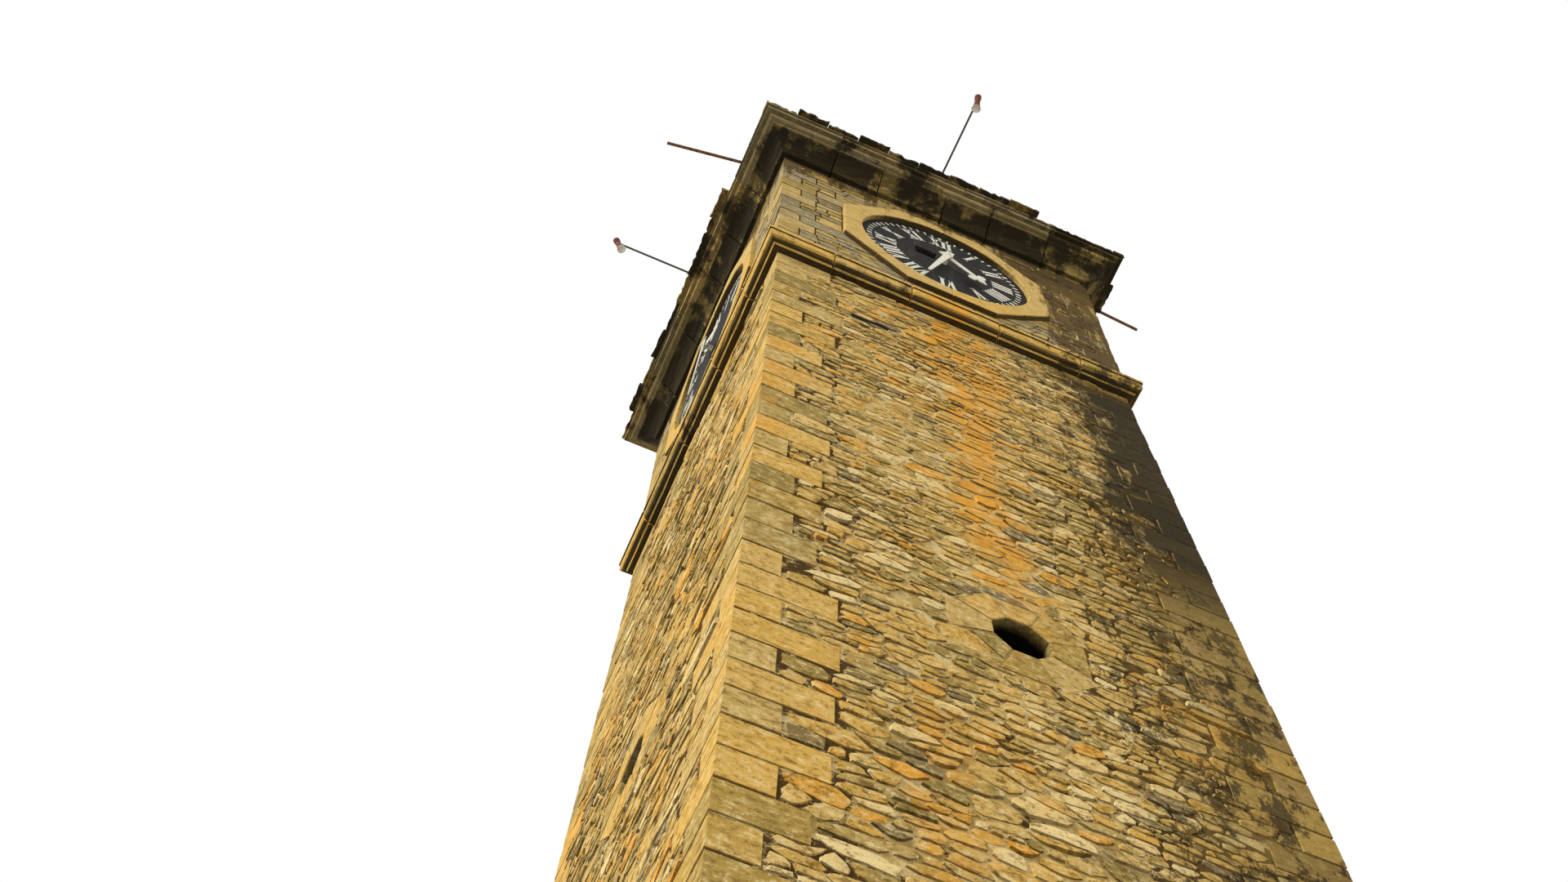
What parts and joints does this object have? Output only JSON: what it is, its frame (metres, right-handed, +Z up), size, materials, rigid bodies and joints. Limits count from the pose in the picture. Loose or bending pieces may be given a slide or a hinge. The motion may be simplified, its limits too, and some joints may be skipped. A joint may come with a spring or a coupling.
{
  "type": "clock tower",
  "caption": "Square stone clock tower with a tapering hollow shaft, eight-sided windows, a clock stage with a recessed dial on each face, and a moulded cornice.",
  "frame": {"origin": "on the ground under the middle of the tower, on the underside of its base step", "axes": "+Z up; the front, with the doorway, faces -Y; the left side faces -X"},
  "size_m": [7.6528, 7.6528, 25],
  "materials": {
    "rubble_stone": "rough rubble in lime mortar",
    "coursed_stone": "small squared stones in courses",
    "dressed_stone": "sawn and dressed blocks",
    "dark_stone": "weathered blocks with black crust",
    "dial_face": "matt charcoal paint",
    "white_hands": "white paint with dark edges",
    "timber": "old oiled planks",
    "floor_stone": "worn flags",
    "black_iron": "black paint with rust",
    "lamp_paint": "reddish-brown paint",
    "brown_iron": "brown rusty paint"
  },
  "bodies": {
    "tower": {"arm_brackets": "black_iron", "base_step": "rubble_stone", "clock_floor": "timber", "clock_surround_back": "dressed_stone", "clock_surround_front": "dressed_stone", "clock_surround_left": "dressed_stone", "clock_surround_right": "dressed_stone", "clock_wall_back": "coursed_stone", "clock_wall_front": "coursed_stone", "clock_wall_left": "coursed_stone", "clock_wall_right": "coursed_stone", "coping_slabs": "dark_stone", "cornice_bed": "dark_stone", "cornice_fascia": "dark_stone", "cornice_moulding": "dark_stone", "dial_back": "dial_face", "dial_front": "dial_face", "dial_left": "dial_face", "dial_right": "dial_face", "door_leaf": "timber", "door_portal": "dressed_stone", "ground_floor": "floor_stone", "lamp_arms": "black_iron", "lamps": "lamp_paint", "plinth": "rubble_stone", "roof_slab": "dark_stone", "shaft_wall_back": "rubble_stone", "shaft_wall_front": "rubble_stone", "shaft_wall_left": "rubble_stone", "shaft_wall_right": "rubble_stone", "side_bars": "brown_iron", "string_course": "dressed_stone", "upper_floors": "timber", "window_surround_back": "dressed_stone", "window_surround_front": "dressed_stone", "window_surround_left": "dressed_stone", "window_surround_right": "dressed_stone"},
    "minute_hand_front": {"minute_hand_front": "white_hands"},
    "hour_hand_front": {"hour_hand_front": "white_hands"},
    "minute_hand_right": {"minute_hand_right": "white_hands"},
    "hour_hand_right": {"hour_hand_right": "white_hands"},
    "minute_hand_back": {"minute_hand_back": "white_hands"},
    "hour_hand_back": {"hour_hand_back": "white_hands"},
    "minute_hand_left": {"minute_hand_left": "white_hands"},
    "hour_hand_left": {"hour_hand_left": "white_hands"}
  },
  "joints": [
    {"name": "minute_turn_front", "type": "hinge", "parent": "tower", "child": "minute_hand_front", "pos_m": [0, -2.25, 22.36], "axis": [0, -1, 0], "continuous": true},
    {"name": "hour_turn_front", "type": "hinge", "parent": "tower", "child": "hour_hand_front", "pos_m": [0, -2.25, 22.36], "axis": [0, -1, 0], "continuous": true},
    {"name": "minute_turn_right", "type": "hinge", "parent": "tower", "child": "minute_hand_right", "pos_m": [2.25, 0, 22.36], "axis": [1, 0, 0], "continuous": true},
    {"name": "hour_turn_right", "type": "hinge", "parent": "tower", "child": "hour_hand_right", "pos_m": [2.25, 0, 22.36], "axis": [1, 0, 0], "continuous": true},
    {"name": "minute_turn_back", "type": "hinge", "parent": "tower", "child": "minute_hand_back", "pos_m": [0, 2.25, 22.36], "axis": [0, 1, 0], "continuous": true},
    {"name": "hour_turn_back", "type": "hinge", "parent": "tower", "child": "hour_hand_back", "pos_m": [0, 2.25, 22.36], "axis": [0, 1, 0], "continuous": true},
    {"name": "minute_turn_left", "type": "hinge", "parent": "tower", "child": "minute_hand_left", "pos_m": [-2.25, 0, 22.36], "axis": [-1, 0, 0], "continuous": true},
    {"name": "hour_turn_left", "type": "hinge", "parent": "tower", "child": "hour_hand_left", "pos_m": [-2.25, 0, 22.36], "axis": [-1, 0, 0], "continuous": true}
  ],
  "couplings": [
    {"joint": "hour_turn_front", "follows": "minute_turn_front", "ratio": 0.083333},
    {"joint": "minute_turn_right", "follows": "minute_turn_front", "ratio": 1},
    {"joint": "hour_turn_right", "follows": "minute_turn_front", "ratio": 0.083333},
    {"joint": "minute_turn_back", "follows": "minute_turn_front", "ratio": 1},
    {"joint": "hour_turn_back", "follows": "minute_turn_front", "ratio": 0.083333},
    {"joint": "minute_turn_left", "follows": "minute_turn_front", "ratio": 1},
    {"joint": "hour_turn_left", "follows": "minute_turn_front", "ratio": 0.083333}
  ]
}
